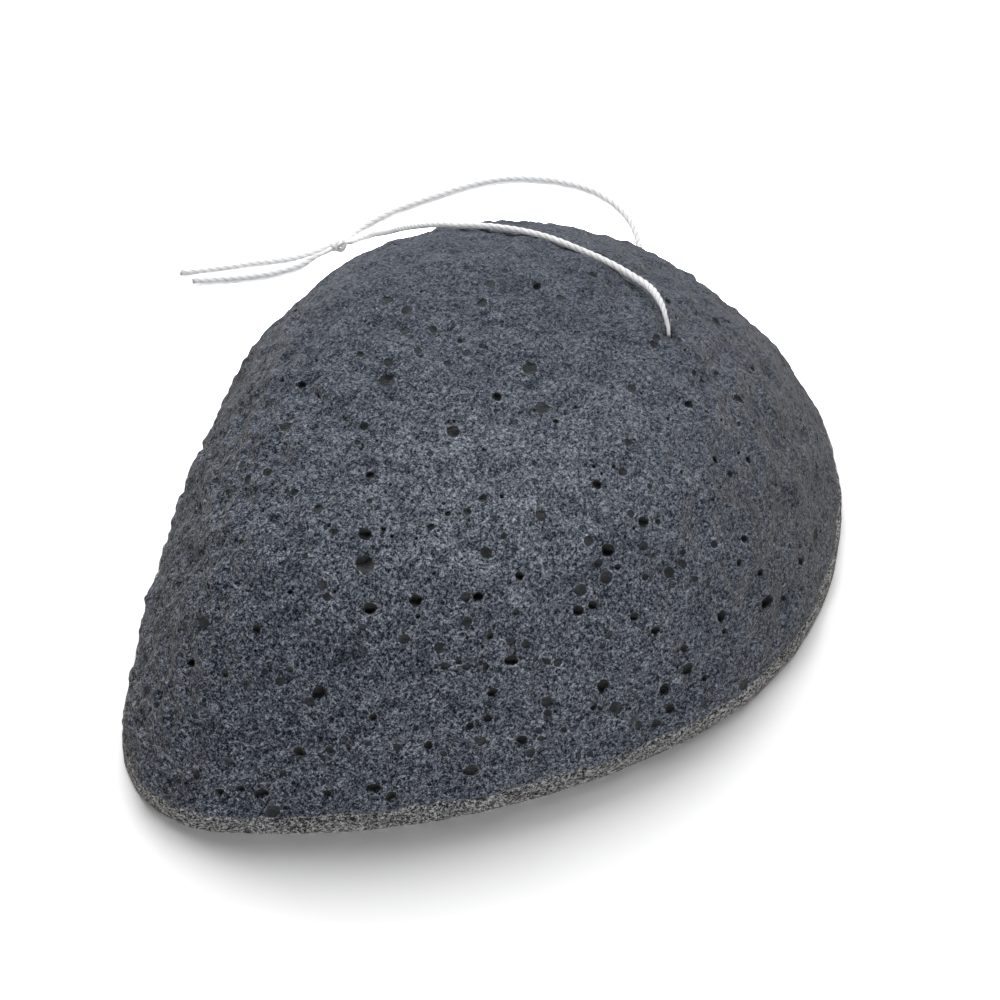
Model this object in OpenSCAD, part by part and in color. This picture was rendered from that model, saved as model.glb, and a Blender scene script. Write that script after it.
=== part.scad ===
// Teardrop konjac sponge with a hanging string, in millimetres.
// +X runs from the tip to the wide end, +Z is up and the origin is under the middle of the base.

/* [Sponge] */
// Length from the tip to the wide end
sponge_l = 100; // [94:1:108]
// Width across the wide end
sponge_w = 78; // [70:1:86]
// Height of the crown above the flat base
sponge_h = 32; // [26:1:38]
// Radius of the rounded tip in plan
tip_r = 12.5; // [8:0.5:16]
// Radius of the flatter flank in plan, on the +Y side
left_flank_r = 155; // [120:5:300]
// Radius of the fuller flank in plan, on the -Y side
right_flank_r = 95; // [85:5:120]
// Height of the upright side wall under the dome
side_wall_h = 3; // [2:0.5:5]
// How full the dome is: a higher number gives a flatter crown and steeper shoulders
crown_power = 4; // [3:0.25:5]
// How far the highest point of the dome lies behind the middle of the base, towards the tip
crown_back = 3; // [0:0.5:6]
// Size of the worn edge between the side wall and the base
base_edge = 0.5; // [0.3:0.1:1]

/* [String] */
// Diameter of the twisted cotton string
string_d = 0.9; // [0.7:0.05:1.1]
// Clearance between the string and the wall of its hole
hole_clearance = 0.1; // [0.05:0.05:0.2]
// Clearance beside and over the string in the dent that it presses into the base
dent_clearance = 0.15; // [0.1:0.05:0.3]
// Radius of the hollow where the string turns under the base
hollow_r = 2.8; // [2.6:0.1:3.5]

/* [Knot] */
// Length of the knot along the two strands
knot_l = 2.8; // [2.4:0.1:3.4]
// Clearance between the two strands where they enter and leave the knot
strand_gap = 0.04; // [0.02:0.01:0.08]
// How far the wraps stand out beyond the two strands
wrap_rise = 0.25; // [0.15:0.05:0.35]
// Number of wraps round the knot
wraps = 2; // [2:1:3]
// Turn of the knot in plan, from +X
knot_turn = 162; // [150:1:175]

/* [Hidden] */
$fn = 48;
charcoal = [0.31, 0.33, 0.36];
cotton_white = [0.93, 0.93, 0.92];
// Extra length of a cut past the face that it opens
overrun = 0.5;

// Plan outline: a wide arc, two flank arcs of long radius and a tip arc, tangent to each other
wide_r = sponge_w / 2;
wide_x = sponge_l / 2 - wide_r;
arc_gap = sponge_l - wide_r - tip_r;
wide_steps = 15;
flank_steps = 12;
tip_steps = 8;
dome_rings = 11;
// How much closer the rings lie near the shoulder than at the crown
ring_crowding = 1.6;
// The worn edge slopes in below the side wall, and the flat base cuts it off half way down
edge_share = 1 - 2 * base_edge / wide_r;

// String: each stretch is a list of the points on its centreline, from end to end of the string,
// measured from under the middle of the wide arc
string_r = string_d / 2;
string_sides = 8;
hole_r = string_r + hole_clearance;
strand_offset = string_r + strand_gap / 2;
knot_end_r = strand_offset + string_r + strand_gap;
knot_r = knot_end_r + wrap_rise;
// Radius of a wrap as a share of its length along the knot
wrap_r_share = 0.33;
wrap_r = wrap_r_share * knot_l / wraps;
up = [0, 0, 1];
down = [0, 0, -1];

// Place of the knot on the surface behind the sponge
knot_at = [12.3, 44.9, knot_r];
knot_dir = [cos(knot_turn), sin(knot_turn), 0];
knot_side = [-knot_dir.y, knot_dir.x, 0];

// Down through the hole, round a bend in the hollow and out under the base to the rim
core_points = [[16.5, -8.2, 28.1], [16.5, -8.2, 2.5], [16.7, -8, 1.45], [17.2, -7.4, 0.7],
               [17.8, -6.7, 0.45], [36.2, 14.7, 0.45]];
mouth = core_points[0];
rim_exit = core_points[len(core_points) - 1];
under_dir = unit([rim_exit.x - mouth.x, rim_exit.y - mouth.y, 0]);

// Up out of the hole, over the dome to its far shoulder and down behind it to the knot
front_points = [mouth, [16.6, -8, 29.1], [17, -7.2, 29.9], [17.8, -5.9, 30], [18.7, -4.1, 29.6],
                [19.5, -1.8, 28.8], [19.6, 0.8, 28.2], [19.3, 3.3, 28.1], [18.7, 5.9, 28.1],
                [18, 8.5, 28], [17.3, 11.1, 27.8], [16.5, 13.7, 27.4], [15.5, 16.1, 27],
                [14.3, 18.5, 26.5], [13, 20.8, 25.9], [11.9, 23.1, 24.9], [11.2, 25.5, 23.5],
                [10.9, 27.9, 21.4], [11.1, 30.5, 18.6], [11.5, 33, 15.6], [12.1, 35.4, 12.4],
                [12.9, 37.7, 9.4], [13.7, 39.8, 6.6], [14.5, 41.2, 4.5], [15.1, 42, 3.1],
                [15.3, 42.6, 2.2], [15.1, 43.1, 1.7], [14.4, 43.7, 1.3], knot_port(-1, -1)];

// Out from under the rim and round behind the sponge to the knot, flat on the surface
back_points = [rim_exit, [38.3, 17.1, 0.45], [40, 19.3, 0.45], [41.3, 21.7, 0.45],
               [42, 24.4, 0.45], [42, 27.2, 0.45], [41.3, 30.1, 0.45], [39.9, 32.8, 0.45],
               [38.1, 35.3, 0.45], [35.9, 37.6, 0.45], [33.3, 39.5, 0.45], [30.4, 41, 0.45],
               [27.4, 42.2, 0.45], [24.3, 43.4, 0.45], [21.3, 44.4, 0.45], [18.4, 45, 0.45],
               [16, 45.1, 0.6], knot_port(-1, 1)];

// The two loose ends beyond the knot
upper_tail_points = [knot_port(1, 1), [9.4, 46.6, 0.9], [7.5, 47.5, 0.5], [5.3, 49, 0.45],
                     [3, 50.7, 0.45], [0.6, 52.3, 0.45], [-1.8, 54, 0.45], [-4.5, 56, 0.45]];
lower_tail_points = [knot_port(1, -1), [9.2, 45.5, 0.9], [7.2, 46.2, 0.5], [4.7, 47.3, 0.45],
                     [2.3, 48.7, 0.45], [0, 50.4, 0.45], [-2.2, 52.2, 0.45], [-4.3, 54, 0.45]];

function unit(v) = v / norm(v);
function polar(r, a) = [r * cos(a), r * sin(a)];

// A port is where a strand meets an end face of the knot: end -1 is the loop's, 1 the tails'
function knot_port(end, side) =
    knot_at + knot_dir * end * knot_l / 2 - knot_side * side * strand_offset;

// One side of the plan outline, from the wide end to the tip, with its flank of radius r
function flank_centre(r) =
    let (x = ((r - tip_r) ^ 2 - (r - wide_r) ^ 2 - arc_gap ^ 2) / (2 * arc_gap))
    [x, -sqrt((r - wide_r) ^ 2 - x ^ 2)];
function side_outline(r) =
    let (c = flank_centre(r), a_wide = atan2(-c.y, -c.x), a_tip = atan2(-c.y, -arc_gap - c.x))
    [for (i = [0:wide_steps - 1]) polar(wide_r, a_wide * i / wide_steps),
     for (i = [0:flank_steps - 1]) c + polar(r, a_wide + (a_tip - a_wide) * i / flank_steps),
     for (i = [0:tip_steps])
         [-arc_gap, 0] + polar(tip_r, a_tip + (180 - a_tip) * i / tip_steps)];
function mirrored(side) = [for (i = [len(side) - 2:-1:1]) [side[i].x, -side[i].y]];
function plan_outline() =
    [for (p = concat(side_outline(left_flank_r), mirrored(side_outline(right_flank_r))))
        p + [wide_x, 0]];

// The outline drawn in towards the crown, at height z
function ring(outline, s, z) =
    [for (p = outline) [-crown_back + (p.x + crown_back) * s, p.y * s, z]];
function dome_z(s) = side_wall_h + (sponge_h - side_wall_h) * (1 - s ^ crown_power);

// Faces between rings of n points, each ring after the first lying above the one before it
function wall_faces(n, rings) =
    [for (k = [0:rings - 2], i = [0:n - 1])
        let (a = k * n + i, b = k * n + (i + 1) % n)
        each [[a, a + n, b + n], [a, b + n, b]]];
function fan_faces(n, first, outward) =
    [for (i = [1:n - 2])
        outward ? [first, first + i + 1, first + i] : [first, first + i, first + i + 1]];

// Sweep: each ring lies across the line, and its first corner is carried along without twist
function direction(points, i, start_dir, end_dir) =
    i == 0 ? start_dir
    : i == len(points) - 1 ? end_dir
    : unit(unit(points[i + 1] - points[i]) + unit(points[i] - points[i - 1]));
function across(v, dir) = unit(v - dir * (v * dir));
function last_step(points) = unit(points[len(points) - 1] - points[len(points) - 2]);
function corners(dirs, v, i = 0) =
    i == len(dirs) ? [] : let (c = across(v, dirs[i])) concat([c], corners(dirs, c, i + 1));

module tube(points, start_dir, end_dir) {
    n = string_sides;
    dirs = [for (i = [0:len(points) - 1]) direction(points, i, start_dir, end_dir)];
    firsts = corners(dirs, cross(dirs[0], [dirs[0].y, dirs[0].z, dirs[0].x]));
    rings = [for (i = [0:len(points) - 1], k = [0:n - 1])
        let (a = 360 * k / n, c = firsts[i])
        points[i] + string_r * (cos(a) * c + sin(a) * cross(dirs[i], c))];
    last = (len(points) - 1) * n;
    polyhedron(rings, concat(wall_faces(n, len(points)), fan_faces(n, 0, false),
                             fan_faces(n, last, true)), convexity = 10);
}

module dome() {
    outline = plan_outline();
    n = len(outline);
    shares = [for (k = [0:dome_rings - 1]) 1 - (k / dome_rings) ^ ring_crowding];
    rings = concat([ring(outline, edge_share, -base_edge), ring(outline, 1, base_edge)],
                   [for (s = shares) ring(outline, s, dome_z(s))]);
    apex = len(rings) * n;
    crown = [for (i = [0:n - 1]) [apex - n + i, apex, apex - n + (i + 1) % n]];
    polyhedron([each [for (r = rings) each r], [-crown_back, 0, sponge_h]],
               concat(wall_faces(n, len(rings)), fan_faces(n, 0, false), crown), convexity = 4);
}

// The string goes where the wide end goes
module with_wide_end() {
    translate([wide_x, 0, 0]) children();
}

module string_hole() {
    translate([mouth.x, mouth.y, -overrun])
        cylinder(r = hole_r, h = sponge_h + 2 * overrun);
}

// The hollow gives the string room to turn, and the dent holds it under the flat base
module string_dent() {
    hollow_h = hollow_r + string_r;
    translate([mouth.x, mouth.y, 0]) {
        cylinder(r1 = hollow_r, r2 = hole_r, h = hollow_h);
        rotate([0, 0, atan2(under_dir.y, under_dir.x)])
            translate([0, -string_r - dent_clearance, -overrun])
                cube([sponge_l, string_d + 2 * dent_clearance, string_d + dent_clearance + overrun]);
    }
}

module sponge_body() {
    color(charcoal)
    difference() {
        dome();
        with_wide_end() {
            string_hole();
            string_dent();
        }
        translate([-sponge_l, -sponge_w, -2 * base_edge])
            cube([2 * sponge_l, 2 * sponge_w, 2 * base_edge]);
    }
}

module string_core() {
    color(cotton_white) with_wide_end() tube(core_points, down, under_dir);
}

module string_front_run() {
    color(cotton_white) with_wide_end() tube(front_points, up, knot_dir);
}

module string_back_run() {
    color(cotton_white) with_wide_end() tube(back_points, under_dir, knot_dir);
}

module string_knot() {
    color(cotton_white) with_wide_end()
    translate(knot_at)
        rotate([0, 90, knot_turn])
            rotate_extrude()
                union() {
                    translate([0, -knot_l / 2]) square([knot_end_r, knot_l]);
                    for (i = [0:wraps - 1])
                        translate([knot_r - wrap_r, (2 * i + 1 - wraps) * wrap_r])
                            circle(r = wrap_r);
                }
}

module string_upper_tail() {
    color(cotton_white) with_wide_end()
        tube(upper_tail_points, knot_dir, last_step(upper_tail_points));
}

module string_lower_tail() {
    color(cotton_white) with_wide_end()
        tube(lower_tail_points, knot_dir, last_step(lower_tail_points));
}

sponge_body();
string_core();
string_front_run();
string_back_run();
string_knot();
string_upper_tail();
string_lower_tail();
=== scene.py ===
"""Looks of a charcoal konjac sponge: its porous foam, its twisted cotton string and a pale studio.

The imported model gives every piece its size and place. All lengths are in metres, and a number
that is written in millimetres is multiplied by MM.
"""

import logging
import math
import random
from collections.abc import Iterable, Sequence
from dataclasses import dataclass, field
from enum import Enum

import bmesh
import bpy
import numpy as np
from mathutils import Euler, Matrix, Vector, noise
from mathutils.bvhtree import BVHTree
from mathutils.kdtree import KDTree


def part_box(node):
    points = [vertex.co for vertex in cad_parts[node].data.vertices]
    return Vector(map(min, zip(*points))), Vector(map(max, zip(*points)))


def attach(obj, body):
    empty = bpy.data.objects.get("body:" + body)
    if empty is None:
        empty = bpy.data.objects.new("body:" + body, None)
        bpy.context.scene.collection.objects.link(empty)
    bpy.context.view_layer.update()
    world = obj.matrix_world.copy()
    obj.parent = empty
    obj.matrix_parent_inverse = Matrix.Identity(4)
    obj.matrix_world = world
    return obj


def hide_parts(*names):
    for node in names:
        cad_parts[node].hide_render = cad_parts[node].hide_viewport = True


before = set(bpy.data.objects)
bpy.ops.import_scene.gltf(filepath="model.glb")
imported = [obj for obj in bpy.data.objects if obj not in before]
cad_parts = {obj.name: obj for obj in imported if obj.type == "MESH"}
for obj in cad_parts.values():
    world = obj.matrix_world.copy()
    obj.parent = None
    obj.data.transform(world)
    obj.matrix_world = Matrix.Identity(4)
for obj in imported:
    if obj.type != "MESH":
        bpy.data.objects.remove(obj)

MM = 0.001
SEED = 7
Point = tuple[float, float, float]
Colour = tuple[float, float, float]
Span = tuple[float, float]
Ring = list[tuple[Vector, Vector]]
log = logging.getLogger("konjac_sponge")


class Slot(Enum):
    """The record's material slots."""

    FOAM = "konjac_foam"
    COTTON = "cotton_string"


def smooth_step(low: float, high: float, value: np.ndarray | float) -> np.ndarray | float:
    """A soft step from 0 at low to 1 at high, for a number or each number of an array."""
    share = np.clip((value - low) / (high - low), 0.0, 1.0)
    return share * share * (3.0 - 2.0 * share)


def add_object(name: str, mesh: bpy.types.Mesh) -> bpy.types.Object:
    """Puts a mesh in the scene as a new object at the origin.

    Args:
        name: The object's name.
        mesh: The mesh, with its place in its points.

    Returns:
        The new object.
    """
    made = bpy.data.objects.new(name, mesh)
    bpy.context.scene.collection.objects.link(made)
    return made


def read_points(mesh: bpy.types.Mesh) -> np.ndarray:
    """The places of a mesh's vertices, as rows of x, y and z."""
    flat = np.empty(len(mesh.vertices) * 3, np.float64)
    mesh.vertices.foreach_get("co", flat)
    return flat.reshape(-1, 3)


def write_values(mesh: bpy.types.Mesh, name: str, values: Sequence[float]) -> None:
    """Gives each of a mesh's points a value, under the name by which the finish reads it."""
    layer = mesh.attributes.new(name, "FLOAT", "POINT")
    layer.data.foreach_set("value", np.array(values, np.float32))


def finished_mesh(bm: bmesh.types.BMesh, name: str) -> bpy.types.Mesh:
    """Turns a modelled shape into a mesh and frees it.

    Args:
        bm: The shape.
        name: The mesh's name.

    Returns:
        The mesh.
    """
    mesh = bpy.data.meshes.new(name)
    bm.to_mesh(mesh)
    bm.free()
    return mesh


def tree_of(points: Sequence[Sequence[float]]) -> KDTree:
    """Sorts points so that the nearest ones are found fast.

    Args:
        points: The points.

    Returns:
        A tree that gives each point's index in their order.
    """
    tree = KDTree(len(points))
    for index, place in enumerate(points):
        tree.insert(place, index)
    tree.balance()
    return tree


def around(across: Vector, third: Vector, angle: float) -> Vector:
    """The direction at an angle round a line, from two directions across it."""
    return across * math.cos(angle) + third * math.sin(angle)


@dataclass(frozen=True)
class PhotoCamera:
    """The camera at the photograph's viewpoint.

    Attributes:
        place: Where the camera stands.
        azimuth: Turn from looking along +Y, in degrees.
        elevation: Angle above the horizon, in degrees.
        lens: Focal length in millimetres, on a sensor of the given width.
        sensor: Width of the sensor in millimetres.
        frame_px: Width and height of the photograph in pixels.
    """

    place: Point = (-0.2781, -0.2900, 0.5678)
    azimuth: float = -44.57
    elevation: float = 54.08
    lens: float = 207.06
    sensor: float = 36.0
    frame_px: int = 1000

    @property
    def turn(self) -> Euler:
        """The camera's rotation."""
        return Euler((math.radians(90.0 - self.elevation), 0.0, math.radians(self.azimuth)))

    @property
    def focal_px(self) -> float:
        """The focal length in pixels of the photograph."""
        return self.lens * self.frame_px / self.sensor

    def build(self) -> bpy.types.Object:
        """Makes the camera and sets it as the scene's.

        Returns:
            The camera object.
        """
        data = bpy.data.cameras.new("photo_camera")
        data.lens = self.lens
        data.sensor_width = self.sensor
        data.clip_start = 0.05
        data.clip_end = 20.0
        camera = bpy.data.objects.new("photo_camera", data)
        camera.location = self.place
        camera.rotation_euler = self.turn
        bpy.context.scene.collection.objects.link(camera)
        bpy.context.scene.camera = camera
        return camera

    def ray(self, x_px: float, y_px: float) -> Vector:
        """The direction in which the camera sees a pixel of the photograph.

        Args:
            x_px: Pixels from the photograph's left edge.
            y_px: Pixels from its top edge.

        Returns:
            A unit vector.
        """
        half = self.frame_px / 2
        seen = Vector((x_px - half, half - y_px, -self.focal_px))
        return (self.turn.to_matrix() @ seen).normalized()

    def pixel_at(self, place: Vector) -> float:
        """The width of one pixel of the photograph at a place on the object."""
        return (place - Vector(self.place)).length / self.focal_px


@dataclass(frozen=True)
class Route:
    """The string's centreline from one tail to the other, as the construction lays it, in mm.

    The points are measured from under the middle of the wide arc, as the string goes where the
    wide end goes. The two strands inside the knot are worked out from its sizes.

    Attributes:
        diameter: Diameter of the string.
        wide_centre: Middle of the wide arc, from under the middle of the base.
        knot_at: Middle of the knot.
        knot_turn: Turn of the knot in plan, in degrees from +X.
        knot_length: Length of the knot along its strands.
        strand_offset: Distance of each strand from the knot's axis at its ends.
        core_radius: Distance of the strands' centrelines from the axis in the knot's core.
        core_offset: The same where the two strands lie side by side behind the wraps.
        wrap_radius: Radius of the wraps' centreline round the knot's axis.
        wrap_from: Where the wraps start along the axis, nearer the tails.
        wrap_to: Where they end, nearer the loop.
        corner_turn: Angle round the axis at which one wrap sticks out, in degrees.
        corner_width: Width of that corner, in degrees.
        corner_height: How far it sticks out.
        core: From the mouth down through the hole and out under the base to the rim.
        front: From the mouth over the dome and down behind it to the knot.
        back: From the rim round behind the sponge to the knot.
        upper_tail: The loose end beyond the knot that lies further from the camera.
        lower_tail: The one that lies nearer.
    """

    diameter: float = 0.9
    wide_centre: float = 11.0
    knot_at: Point = (12.3, 44.9, 1.21)
    knot_turn: float = 162.0
    knot_length: float = 2.8
    strand_offset: float = 0.33
    core_radius: float = 0.16
    core_offset: float = 0.28
    wrap_radius: float = 0.38
    wrap_from: float = 0.75
    wrap_to: float = -0.75
    corner_turn: float = 315.0
    corner_width: float = 36.0
    corner_height: float = 0.45
    core: tuple[Point, ...] = (
        (16.5, -8.2, 28.1), (16.5, -8.2, 2.5), (16.7, -8, 1.45), (17.2, -7.4, 0.7),
        (17.8, -6.7, 0.45), (36.2, 14.7, 0.45))
    front: tuple[Point, ...] = (
        (16.6, -8, 29.1), (17, -7.2, 29.9), (17.8, -5.9, 30), (18.7, -4.1, 29.6),
        (19.5, -1.8, 28.8), (19.6, 0.8, 28.2), (19.3, 3.3, 28.1), (18.7, 5.9, 28.1),
        (18, 8.5, 28), (17.3, 11.1, 27.8), (16.5, 13.7, 27.4), (15.5, 16.1, 27),
        (14.3, 18.5, 26.5), (13, 20.8, 25.9), (11.9, 23.1, 24.9), (11.2, 25.5, 23.5),
        (10.9, 27.9, 21.4), (11.1, 30.5, 18.6), (11.5, 33, 15.6), (12.1, 35.4, 12.4),
        (12.9, 37.7, 9.4), (13.7, 39.8, 6.6), (14.5, 41.2, 4.5), (15.1, 42, 3.1),
        (15.3, 42.6, 2.2), (15.1, 43.1, 1.7), (14.4, 43.7, 1.3))
    back: tuple[Point, ...] = (
        (38.3, 17.1, 0.45), (40, 19.3, 0.45), (41.3, 21.7, 0.45), (42, 24.4, 0.45),
        (42, 27.2, 0.45), (41.3, 30.1, 0.45), (39.9, 32.8, 0.45), (38.1, 35.3, 0.45),
        (35.9, 37.6, 0.45), (33.3, 39.5, 0.45), (30.4, 41, 0.45), (27.4, 42.2, 0.45),
        (24.3, 43.4, 0.45), (21.3, 44.4, 0.45), (18.4, 45, 0.45), (16, 45.1, 0.6))
    upper_tail: tuple[Point, ...] = (
        (7.5, 47.5, 0.5), (5.3, 49, 0.45), (3, 50.7, 0.45),
        (0.6, 52.3, 0.45), (-1.8, 54, 0.45), (-4.5, 56, 0.45))
    lower_tail: tuple[Point, ...] = (
        (7.2, 46.2, 0.5), (4.7, 47.3, 0.45), (2.3, 48.7, 0.45),
        (0, 50.4, 0.45), (-2.2, 52.2, 0.45), (-4.3, 54, 0.45))

    def knot_strand(self, side: int) -> list[Point]:
        """One strand's way through the knot, from the loop's end to the tail's.

        It runs through the core, turns back, wraps once and a quarter round it and leaves
        through the core again. The other strand does the same half a turn further round.

        Args:
            side: 1 for the strand nearer the sponge, -1 for the other.

        Returns:
            Points in the same measure as the other stretches.
        """
        half = self.knot_length / 2
        core_r = self.core_radius
        turn_r = (core_r + self.wrap_radius) / 2
        first, last = 45.0, 495.0

        def polar(along: float, radius: float, degrees: float) -> Point:
            a = math.radians(degrees)
            return (along, side * radius * math.cos(a), side * radius * math.sin(a))

        local = [(-half, side * self.strand_offset, 0.0)]
        local += [polar(u, core_r, first) for u in (-0.8, -0.2, 0.4)]
        local.append(polar(self.wrap_from + 0.1, turn_r, first + 15))
        steps = 18
        for i in range(steps + 1):
            share = i / steps
            degrees = first + 35 + share * (last - first - 70)
            radius = self.wrap_radius * (0.68 + 0.32 * math.sin(math.pi * min(0.25 + share, 0.75)))
            off_corner = (degrees - self.corner_turn) / self.corner_width
            if side > 0:
                radius += self.corner_height * math.exp(-off_corner ** 2)
            passed = float(smooth_step(-2.2, 1.8, off_corner))
            local.append(polar(self.wrap_from * (1 - passed) + self.wrap_to * passed, radius, degrees))
        local.append(polar(self.wrap_to - 0.15, turn_r, last - 15))
        local += [polar(u, core_r, last) for u in (-0.5, 0.0, 0.5)]
        local += [(u, side * self.core_offset, 0.0) for u in (0.9, 1.2)]
        for along, drift, drop in ((0.3, 0.0, 0.05), (1.1, 0.05, 0.16), (1.9, 0.12, 0.3)):
            local.append((half + along, side * (self.strand_offset + drift / 4) - drift, -drop))

        turn = math.radians(self.knot_turn)
        along = Vector((math.cos(turn), math.sin(turn), 0.0))
        sideways = Vector((-along.y, along.x, 0.0))
        middle = Vector(self.knot_at)
        return [tuple(middle + along * u + sideways * v + Vector((0, 0, w))) for u, v, w in local]

    def points(self) -> list[Point]:
        """The whole string in order, from the lower tail's tip to the upper tail's."""
        first = [*self.lower_tail[::-1], *self.knot_strand(1)[::-1], *self.front[::-1]]
        return [*first, *self.core, *self.back, *self.knot_strand(-1), *self.upper_tail]


def catmull_rom(points: Sequence[Vector], step: float) -> list[Vector]:
    """A smooth line through points, cut into steps of even length.

    Args:
        points: The points that the line passes through.
        step: Length of a step.

    Returns:
        Points along the line, its two ends among them.
    """
    padded = [points[0] * 2 - points[1], *points, points[-1] * 2 - points[-2]]
    fine = []
    for before, start, end, after in zip(padded, padded[1:], padded[2:], padded[3:]):
        knots = [0.0]
        for a, b in ((before, start), (start, end), (end, after)):
            knots.append(knots[-1] + math.sqrt(max((b - a).length, 1e-9)))
        for i in range(12):
            t = knots[1] + (knots[2] - knots[1]) * i / 12

            def between(a: Vector, b: Vector, low: int, high: int) -> Vector:
                return a.lerp(b, (t - knots[low]) / (knots[high] - knots[low]))

            first, second, third = (between(before, start, 0, 1), between(start, end, 1, 2),
                                    between(end, after, 2, 3))
            fine.append(between(between(first, second, 0, 2), between(second, third, 1, 3), 1, 2))
    fine.append(points[-1])
    lengths = np.cumsum([0.0] + [(b - a).length for a, b in zip(fine, fine[1:])])
    count = max(2, round(lengths[-1] / step) + 1)
    rows = np.array(fine)
    spread = np.linspace(0.0, lengths[-1], count)
    return [Vector(row) for row in
            np.column_stack([np.interp(spread, lengths, rows[:, k]) for k in range(3)])]


@dataclass
class TwistedString:
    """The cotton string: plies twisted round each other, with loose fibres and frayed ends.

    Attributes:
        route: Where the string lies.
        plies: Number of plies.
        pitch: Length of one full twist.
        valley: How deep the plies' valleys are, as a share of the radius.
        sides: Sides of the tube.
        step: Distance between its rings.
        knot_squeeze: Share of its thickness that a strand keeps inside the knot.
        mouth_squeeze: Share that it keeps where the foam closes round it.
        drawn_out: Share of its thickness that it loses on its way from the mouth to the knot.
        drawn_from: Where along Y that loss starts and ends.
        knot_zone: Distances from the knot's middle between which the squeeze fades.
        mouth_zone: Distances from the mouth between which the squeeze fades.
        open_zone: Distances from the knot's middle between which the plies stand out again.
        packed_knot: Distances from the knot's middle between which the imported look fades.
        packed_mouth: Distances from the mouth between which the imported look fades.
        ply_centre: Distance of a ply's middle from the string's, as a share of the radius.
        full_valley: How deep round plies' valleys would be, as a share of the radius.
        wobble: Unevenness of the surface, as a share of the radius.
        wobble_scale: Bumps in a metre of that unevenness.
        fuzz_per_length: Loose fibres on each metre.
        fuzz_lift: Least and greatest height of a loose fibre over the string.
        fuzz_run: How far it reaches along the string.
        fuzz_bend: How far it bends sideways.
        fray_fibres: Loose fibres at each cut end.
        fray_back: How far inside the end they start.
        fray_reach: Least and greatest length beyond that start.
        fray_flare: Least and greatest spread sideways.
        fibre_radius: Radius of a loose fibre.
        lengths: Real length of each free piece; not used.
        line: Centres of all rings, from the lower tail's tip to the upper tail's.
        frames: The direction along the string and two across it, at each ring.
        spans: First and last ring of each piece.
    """

    route: Route = field(default_factory=Route)
    plies: int = 3
    pitch: float = 3.1 * MM
    valley: float = 0.2
    sides: int = 30
    step: float = 0.13 * MM
    knot_squeeze: float = 0.66
    mouth_squeeze: float = 0.5
    drawn_out: float = 0.14
    drawn_from: Span = (-4 * MM, 18 * MM)
    knot_zone: Span = (2.2 * MM, 5.0 * MM)
    mouth_zone: Span = (0.3 * MM, 6.0 * MM)
    open_zone: Span = (1.4 * MM, 3.0 * MM)
    packed_knot: Span = (1.2 * MM, 2.6 * MM)
    packed_mouth: Span = (0.8 * MM, 2.4 * MM)
    ply_centre: float = 0.44
    full_valley: float = 0.39
    wobble: float = 0.05
    wobble_scale: float = 2600.0
    fuzz_per_length: float = 2200.0
    fuzz_lift: Span = (0.05 * MM, 0.3 * MM)
    fuzz_run: float = 0.7 * MM
    fuzz_bend: float = 0.2 * MM
    fray_fibres: int = 30
    fray_back: float = 0.25 * MM
    fray_reach: Span = (0.5 * MM, 1.3 * MM)
    fray_flare: Span = (0.05 * MM, 0.4 * MM)
    fibre_radius: float = 0.022 * MM
    lengths: dict[str, float] = field(default_factory=lambda: {
        "string_front": 0.0956, "string_back": 0.0778})
    line: list[Vector] = field(default_factory=list)
    frames: list[tuple[Vector, Vector, Vector]] = field(default_factory=list)
    spans: dict[str, tuple[int, int]] = field(default_factory=dict)

    @property
    def radius(self) -> float:
        """Radius of the string where nothing squeezes it."""
        return self.route.diameter / 2 * MM

    def in_frame(self, point: Point) -> Vector:
        """A point of the route in the frame, in metres."""
        return (Vector(point) + Vector((self.route.wide_centre, 0.0, 0.0))) * MM

    @property
    def knot_middle(self) -> Vector:
        """Middle of the knot in the frame."""
        return self.in_frame(self.route.knot_at)

    @property
    def mouth(self) -> Vector:
        """Where the string leaves the top of the sponge."""
        return self.in_frame(self.route.core[0])

    def lay_out(self) -> None:
        """Works out every ring's centre, and the span of each piece; neighbours share an end."""
        whole = [self.in_frame(point) for point in self.route.points()]
        line = catmull_rom(whole, self.step)
        places = tree_of(line)
        at_mouth = places.find(self.mouth)[1]
        at_rim = places.find(self.in_frame(self.route.core[-1]))[1]
        self.line = line
        self.frames = self.carried_frames(line)
        self.spans = {"string_front": (0, at_mouth), "string_through": (at_mouth, at_rim),
                      "string_back": (at_rim, len(line) - 1)}
        for name, (low, high) in self.spans.items():
            log.info("%s: %.1f mm long", name, (high - low) * self.step / MM)

    @staticmethod
    def carried_frames(line: Sequence[Vector]) -> list[tuple[Vector, Vector, Vector]]:
        """Directions across the line, carried along it without twist.

        Args:
            line: The rings' centres.

        Returns:
            For each centre, the direction along the line and two directions across it.
        """
        frames = []
        across = Vector((0.0, 0.0, 1.0))
        for i in range(len(line)):
            along = (line[min(i + 1, len(line) - 1)] - line[max(i - 1, 0)]).normalized()
            across = (across - along * across.dot(along)).normalized()
            frames.append((along, across, along.cross(across)))
        return frames

    def near(self, centre: Vector, knot_zone: Span, mouth_zone: Span) -> Span:
        """Two shares that fall from 1 to 0 across a zone round the knot and one round the mouth."""
        return (1.0 - smooth_step(*knot_zone, (centre - self.knot_middle).length),
                1.0 - smooth_step(*mouth_zone, (centre - self.mouth).length))

    def thickness(self, centre: Vector) -> float:
        """Share of its full thickness that the string has at a place."""
        in_knot, in_mouth = self.near(centre, self.knot_zone, self.mouth_zone)
        drawn = 1.0 - self.drawn_out * smooth_step(*self.drawn_from, centre.y)
        return drawn - in_knot * (drawn - self.knot_squeeze) - in_mouth * (1.0 - self.mouth_squeeze)

    def tightness(self, centre: Vector) -> float:
        """How tightly the string is packed at a place: 1 inside the knot and in the mouth."""
        return max(self.near(centre, self.packed_knot, self.packed_mouth))

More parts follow.
